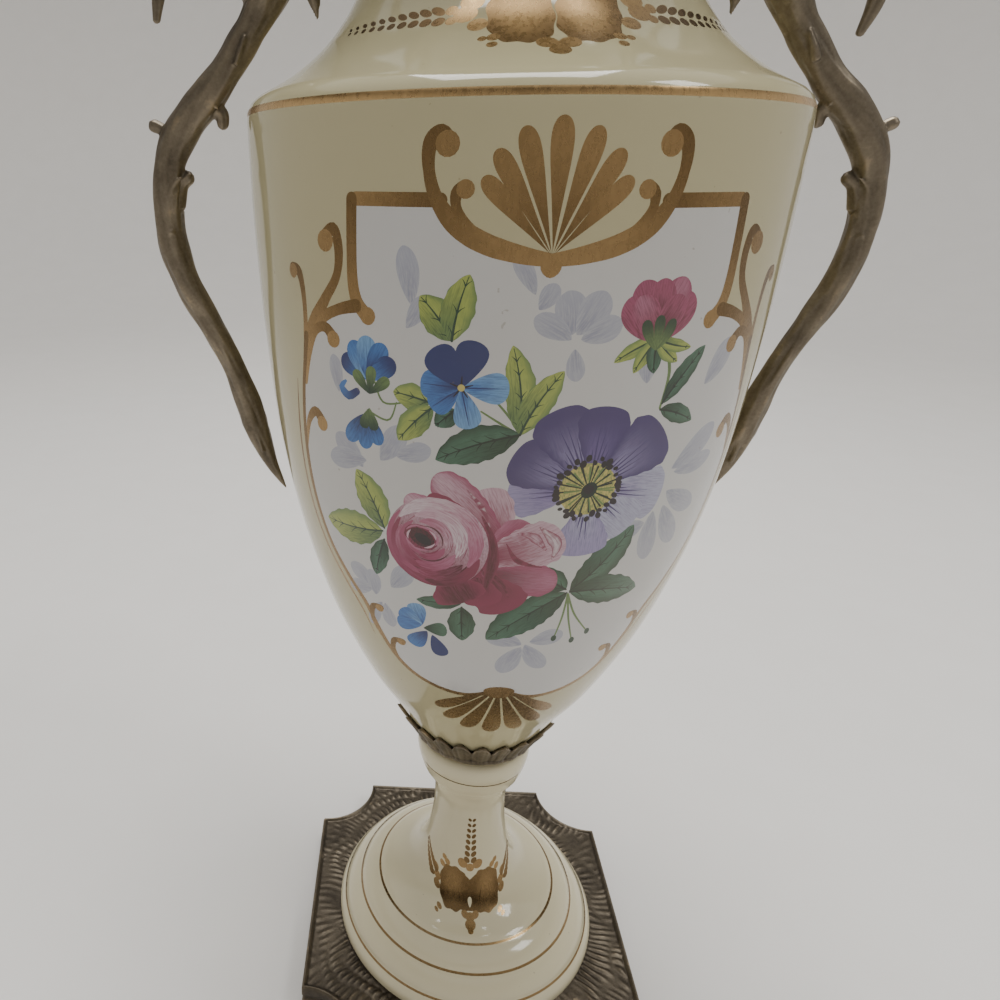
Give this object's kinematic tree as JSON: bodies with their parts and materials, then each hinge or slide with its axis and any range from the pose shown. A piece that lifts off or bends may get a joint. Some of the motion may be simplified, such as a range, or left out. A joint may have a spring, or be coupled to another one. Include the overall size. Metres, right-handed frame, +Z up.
{
  "type": "mantel urn",
  "caption": "Footed porcelain vase with a painted floral panel, on a square bronze plinth, with a bronze collar, mouth ring and branch-shaped side handles.",
  "frame": {"origin": "centre of the plinth's underside, on the surface the urn stands on", "axes": "+Z up; the painted front faces -Y and the handles lie along X"},
  "size_m": [0.1972, 0.1394, 0.3783],
  "materials": {
    "porcelain": "gloss, with painted and gilt decoration",
    "bronze": "dark patina, rubbed on the high points"
  },
  "bodies": {
    "root": {"plinth": "bronze", "foot": "porcelain", "collar": "bronze", "body": "porcelain", "mouth_ring": "bronze", "handle_right": "bronze", "handle_left": "bronze"}
  },
  "joints": []
}
